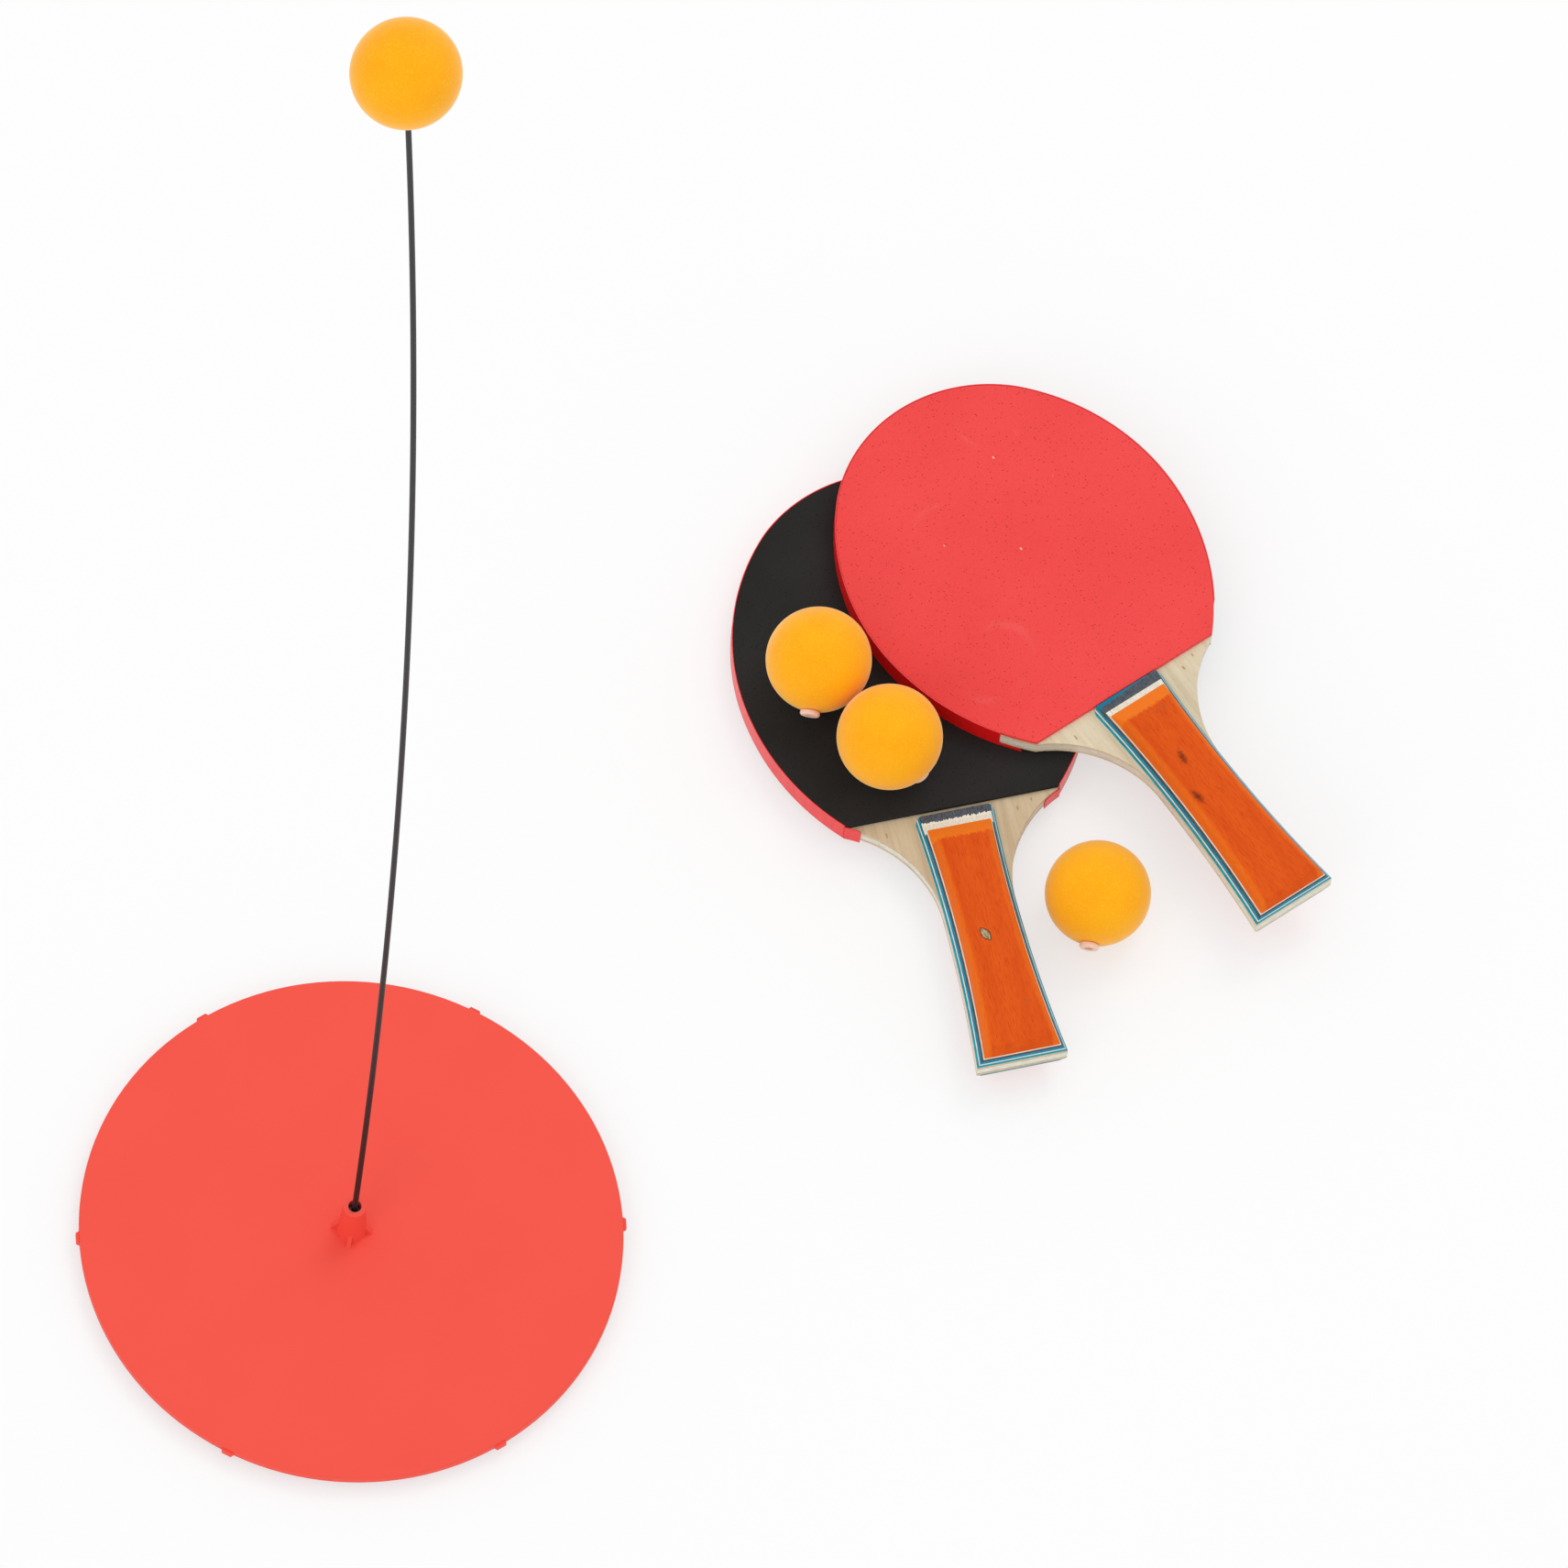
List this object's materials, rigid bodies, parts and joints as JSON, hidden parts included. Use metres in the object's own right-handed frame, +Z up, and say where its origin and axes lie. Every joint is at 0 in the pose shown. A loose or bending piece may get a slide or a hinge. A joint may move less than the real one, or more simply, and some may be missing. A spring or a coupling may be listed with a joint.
{
  "type": "table tennis trainer",
  "caption": "Table tennis trainer set: round weighted base with an elastic shaft and a ball on its tip, paddles with laminated handles, and spare balls with rubber plugs.",
  "frame": {"origin": "centre of the base on the floor", "axes": "+Z up along the shaft's foot, +X towards the paddles, -Y towards the front"},
  "size_m": [0.4427, 0.487, 1.0099],
  "materials": {
    "red_plastic": "satin moulded",
    "ballast_steel": "bare plate",
    "mat_rubber": "matte",
    "sleeve_metal": "drawn tube",
    "shaft_black": "black coated spring steel",
    "ball_plastic": "matte celluloid",
    "plug_rubber": "translucent soft rubber",
    "core_wood": "plywood core",
    "face_wood": "sanded pale veneer",
    "black_rubber": "matte smooth sheet",
    "red_rubber": "matte smooth sheet",
    "edge_tape": "red film tape",
    "teal_veneer": "dyed veneer",
    "cream_veneer": "pale veneer",
    "blue_veneer": "dyed veneer",
    "grey_veneer": "dyed veneer",
    "orange_wood": "dyed sanded wood"
  },
  "bodies": {
    "base": {"base_cover": "red_plastic", "base_tray": "red_plastic", "ballast_plate": "ballast_steel", "base_mat": "mat_rubber"},
    "shaft_foot": {"shaft_foot_sleeve": "sleeve_metal"},
    "shaft": {"shaft": "shaft_black", "shaft_tip_sleeve": "shaft_black"},
    "trainer_ball": {"trainer_ball_shell": "ball_plastic", "trainer_ball_plug": "plug_rubber"},
    "paddle_a": {"paddle_a_core_ply": "core_wood", "paddle_a_top_ply": "face_wood", "paddle_a_bottom_ply": "face_wood", "paddle_a_black_rubber": "black_rubber", "paddle_a_red_rubber": "red_rubber", "paddle_a_edge_tape": "edge_tape", "paddle_a_top_scale_teal": "teal_veneer", "paddle_a_top_scale_inner_cream": "cream_veneer", "paddle_a_top_scale_blue": "blue_veneer", "paddle_a_top_scale_grey": "grey_veneer", "paddle_a_top_scale_cream": "cream_veneer", "paddle_a_top_scale_orange": "orange_wood", "paddle_a_bottom_scale_teal": "teal_veneer", "paddle_a_bottom_scale_inner_cream": "cream_veneer", "paddle_a_bottom_scale_blue": "blue_veneer", "paddle_a_bottom_scale_grey": "grey_veneer", "paddle_a_bottom_scale_cream": "cream_veneer", "paddle_a_bottom_scale_orange": "orange_wood"},
    "paddle_b": {"paddle_b_core_ply": "core_wood", "paddle_b_top_ply": "face_wood", "paddle_b_bottom_ply": "face_wood", "paddle_b_black_rubber": "black_rubber", "paddle_b_red_rubber": "red_rubber", "paddle_b_edge_tape": "edge_tape", "paddle_b_top_scale_teal": "teal_veneer", "paddle_b_top_scale_inner_cream": "cream_veneer", "paddle_b_top_scale_blue": "blue_veneer", "paddle_b_top_scale_grey": "grey_veneer", "paddle_b_top_scale_cream": "cream_veneer", "paddle_b_top_scale_orange": "orange_wood", "paddle_b_bottom_scale_teal": "teal_veneer", "paddle_b_bottom_scale_inner_cream": "cream_veneer", "paddle_b_bottom_scale_blue": "blue_veneer", "paddle_b_bottom_scale_grey": "grey_veneer", "paddle_b_bottom_scale_cream": "cream_veneer", "paddle_b_bottom_scale_orange": "orange_wood"},
    "spare_ball_1": {"spare_ball_1_shell": "ball_plastic", "spare_ball_1_plug": "plug_rubber"},
    "spare_ball_2": {"spare_ball_2_shell": "ball_plastic", "spare_ball_2_plug": "plug_rubber"},
    "spare_ball_3": {"spare_ball_3_shell": "ball_plastic", "spare_ball_3_plug": "plug_rubber"}
  },
  "joints": [
    {"name": "shaft_pull", "type": "slide", "parent": "base", "child": "shaft_foot", "axis": [0, 0, 1], "range_m": [0, 0.04]},
    {"name": "shaft_sway", "type": "hinge", "parent": "shaft_foot", "child": "shaft", "pos_m": [-0.0025, 0, 0.26858], "axis": [0, 1, 0], "range_deg": [-40, 40], "stiffness_Nm_per_rad": 0.32, "springref_deg": 0.74, "deforming": ["shaft"]},
    {"name": "ball_pull", "type": "slide", "parent": "shaft", "child": "trainer_ball", "axis": [-0.0817, 0, 0.9967], "range_m": [0, 0.03]},
    {"name": "paddle_a_lift", "type": "slide", "parent": "base", "child": "paddle_a", "axis": [0, 0, 1], "range_m": [0, 0.25]},
    {"name": "paddle_b_lift", "type": "slide", "parent": "paddle_a", "child": "paddle_b", "axis": [0, 0, 1], "range_m": [0, 0.2]},
    {"name": "spare_ball_1_lift", "type": "slide", "parent": "paddle_a", "child": "spare_ball_1", "axis": [0, 0, 1], "range_m": [0, 0.2]},
    {"name": "spare_ball_2_lift", "type": "slide", "parent": "paddle_a", "child": "spare_ball_2", "axis": [0, 0, 1], "range_m": [0, 0.2]},
    {"name": "spare_ball_3_lift", "type": "slide", "parent": "base", "child": "spare_ball_3", "axis": [0, 0, 1], "range_m": [0, 0.2]}
  ]
}
